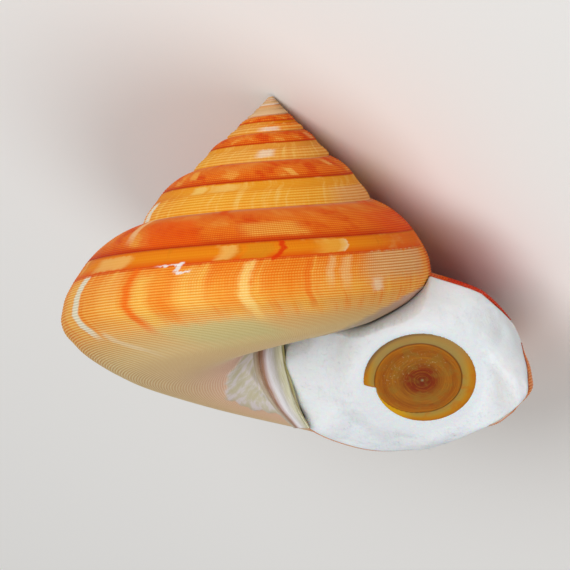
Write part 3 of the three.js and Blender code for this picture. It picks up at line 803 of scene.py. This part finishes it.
# The lid: a thin sheet of amber horn that closes the mouth when the animal is in. It grew in one turn after
# another, so its edge winds outward and ends in a step. It is pressed into the wool.
lid_spokes, lid_rings, lid_rim_rings = 180, 50, 8
lid_rim, narrowest_brim = 0.35, 0.4
lid_lines = [9.6, 9.4, 8.8, 8, 7.8, 7.9, 8.5, 9.2, 9.5, 9.65, 9.6]
brim_drop, core_lift, core_edge, hub_dip = 0.3, 0.22, (0.95, 1.05), 0.25
groove_depth, groove_at, groove_width = 0.1, 0.97, 0.05
lid_rows = lid_rings + lid_rim_rings + 2
bm = bmesh.new()
bmesh.ops.create_grid(bm, x_segments=lid_spokes, y_segments=lid_rows, size=0.5)
lid_values = ("ring", "inner", "out", "spoke")
lid_layers = [bm.verts.layers.float.new(name) for name in lid_values]
for vertex in bm.verts:
    share, place = vertex.co.x + 0.5, (vertex.co.y + 0.5) * lid_rows
    edge, line = np.interp(share, lid_turns, lid_edges), np.interp(share, lid_turns, lid_lines)
    radius = (edge - lid_rim) * min(place / lid_rings, 1)
    ring, inner = (edge - radius) / max(edge - line, narrowest_brim), min(radius / line, 1)
    height = lid_thickness - brim_drop + core_lift * ramp(ring, *core_edge) - hub_dip * (1 - inner) ** 0.7
    height -= groove_depth * np.exp(-(((ring - groove_at) / groove_width) ** 2))
    if place > lid_rings:
        lean = min((place - lid_rings) / lid_rim_rings, 1) * np.pi
        radius = edge - lid_rim + lid_rim * np.sin(lean)
        height = height / 2 * (1 + np.cos(lean))
    if round(place) == lid_rows:
        radius = 0
    for layer, value in zip(lid_layers, (ring, inner, radius, share)):
        vertex[layer] = value
    turn = np.radians(lid_step_at + 360 * share)
    vertex.co = lying @ Vector((lid_place @ (radius * np.cos(turn), radius * np.sin(turn), height, 1))[:3])
bmesh.ops.remove_doubles(bm, verts=bm.verts, dist=2e-6)
bmesh.ops.recalc_face_normals(bm, faces=bm.faces)
lid = into_object(bm, "lid")
lid_finish, tree, shader = finish("amber horn", 0.42, Specular_IOR_Level=0.12)
ring, inner, out, spoke = (surface_value(tree, name) for name in lid_values)
round_turn = maths(tree, "MULTIPLY", spoke, 2 * np.pi)
east = times(out, maths(tree, "COSINE", round_turn))
north = times(out, maths(tree, "SINE", round_turn))
broad = maths(tree, "MULTIPLY", east, 0.25), maths(tree, "MULTIPLY", north, 0.25)
striae = grain(tree, maths(tree, "MULTIPLY", out, 5), *broad, 1, 4, 0.6)
spots = grain(tree, east, north, 0, 1.6, 4, 0.65)
blotches = grain(tree, east, north, 3, 0.35, 3, 0.6)
inner_shades = [
    (0, (150, 142, 120)), (0.03, (120, 84, 50)), (0.06, (112, 34, 4)), (0.32, (128, 44, 4)),
    (0.42, (138, 74, 14)), (0.62, (158, 96, 20)), (0.82, (150, 80, 10)), (0.97, (168, 98, 12)),
]
core = shades(tree, inner, inner_shades)
core = over(tree, rise(tree, striae, 0.52, 0.66, 0.35), core, paint(186, 124, 24))
core = over(tree, rise(tree, striae, 0.46, 0.34, 0.4), core, paint(104, 52, 4))
core = over(tree, rise(tree, blotches, 0.46, 0.66, 0.5), core, paint(140, 106, 34))
brim_shades = [(0, (176, 108, 12)), (0.35, (188, 124, 16)), (0.6, (176, 136, 48)), (1, (158, 130, 64))]
brim = shades(tree, ring, brim_shades)
brim = over(tree, rise(tree, blotches, 0.48, 0.66, 0.6), brim, paint(186, 104, 8))
# A stretch of the brim at its lower left is painted bright yellow: painted light shining through the thin
# horn.
lit_through_brim = spell(tree, spoke, 0.01, 0.05, 0.12, 0.2, 0.9)
brim = over(tree, lit_through_brim, brim, paint(214, 158, 4))
khaki = spell(tree, spoke, 0.5, 0.62, 0.86, 0.95, 0.7)
brim = over(tree, khaki, brim, paint(158, 134, 78))
colour = over(tree, rise(tree, ring, 0.97, 1.01), brim, core)
# A dark line painted along the groove between the core and the brim: painted shade in the groove.
groove_shade = times(spell(tree, ring, 0.9, 0.99, 1, 1.06, 0.75), rise(tree, spoke, 0, 0.1))
colour = over(tree, groove_shade, colour, paint(104, 52, 4))
speckled = times(spell(tree, inner, 0.25, 0.4, 0.75, 0.95), spell(tree, spoke, 0.5, 0.62, 1, 1.1))
flecks = times(rise(tree, spots, 0.56, 0.68, 0.7), speckled, 0.5)
colour = over(tree, flecks, colour, paint(206, 172, 122))
# The outer edge of the brim is darker brown along its upper left stretch.
darker_outer_edge = times(rise(tree, out, 10.8, 11.8), spell(tree, spoke, 0.62, 0.72, 0.9, 0.97, 0.8))
colour = over(tree, darker_outer_edge, colour, paint(112, 82, 50))
bump = step(tree, "Bump", 0.6, 0.0001, None, striae)
tree.links.new(colour, shader.inputs["Base Color"])
tree.links.new(bump, shader.inputs["Normal"])
lid.data.materials.append(lid_finish)
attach(lid, "root")
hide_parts("operculum")
